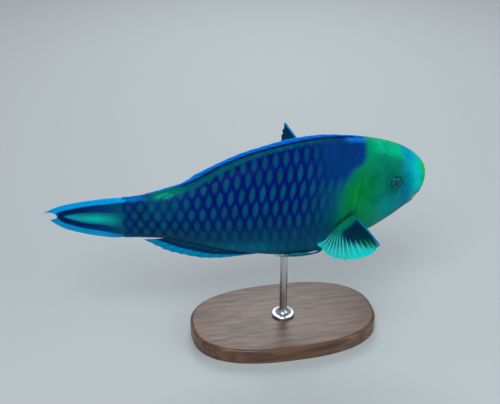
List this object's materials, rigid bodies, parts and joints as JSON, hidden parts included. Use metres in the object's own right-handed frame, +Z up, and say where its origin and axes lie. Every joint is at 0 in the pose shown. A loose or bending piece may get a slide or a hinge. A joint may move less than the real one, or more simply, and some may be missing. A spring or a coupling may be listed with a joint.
{
  "type": "parrotfish display model",
  "caption": "Life-size model of a blue-green parrotfish swimming level, fins folded and pectoral fins spread, held by one steel rod on a flat oval wooden base.",
  "frame": {"origin": "middle of the underside of the stand's base, straight below the rod", "axes": "+X towards the fish's snout, +Y towards its left side, +Z up"},
  "size_m": [0.2905, 0.1241, 0.1683],
  "materials": {
    "head_skin": "smooth wet-looking skin, green with blue streaks",
    "scaled_skin": "large scales, royal blue with a teal centre on each",
    "fin": "rayed membrane with an azure margin and dark bands",
    "pectoral_fin": "thin blue-green membrane with pale rays and a dark front",
    "eye": "polished, dark pupil in a green iris",
    "beak": "glossy fused teeth, ivory white",
    "stand_wood": "satin dark hardwood",
    "stand_steel": "satin"
  },
  "bodies": {
    "root": {"head": "head_skin", "trunk": "scaled_skin", "tail_stem": "scaled_skin", "tail_fin": "fin", "dorsal_fin": "fin", "anal_fin": "fin", "pectoral_fin_right": "pectoral_fin", "pectoral_fin_left": "pectoral_fin", "pelvic_fin_right": "fin", "pelvic_fin_left": "fin", "eye_right": "eye", "eye_left": "eye", "beak_upper": "beak", "beak_lower": "beak", "stand_base": "stand_wood", "stand_rod": "stand_steel"}
  },
  "joints": []
}
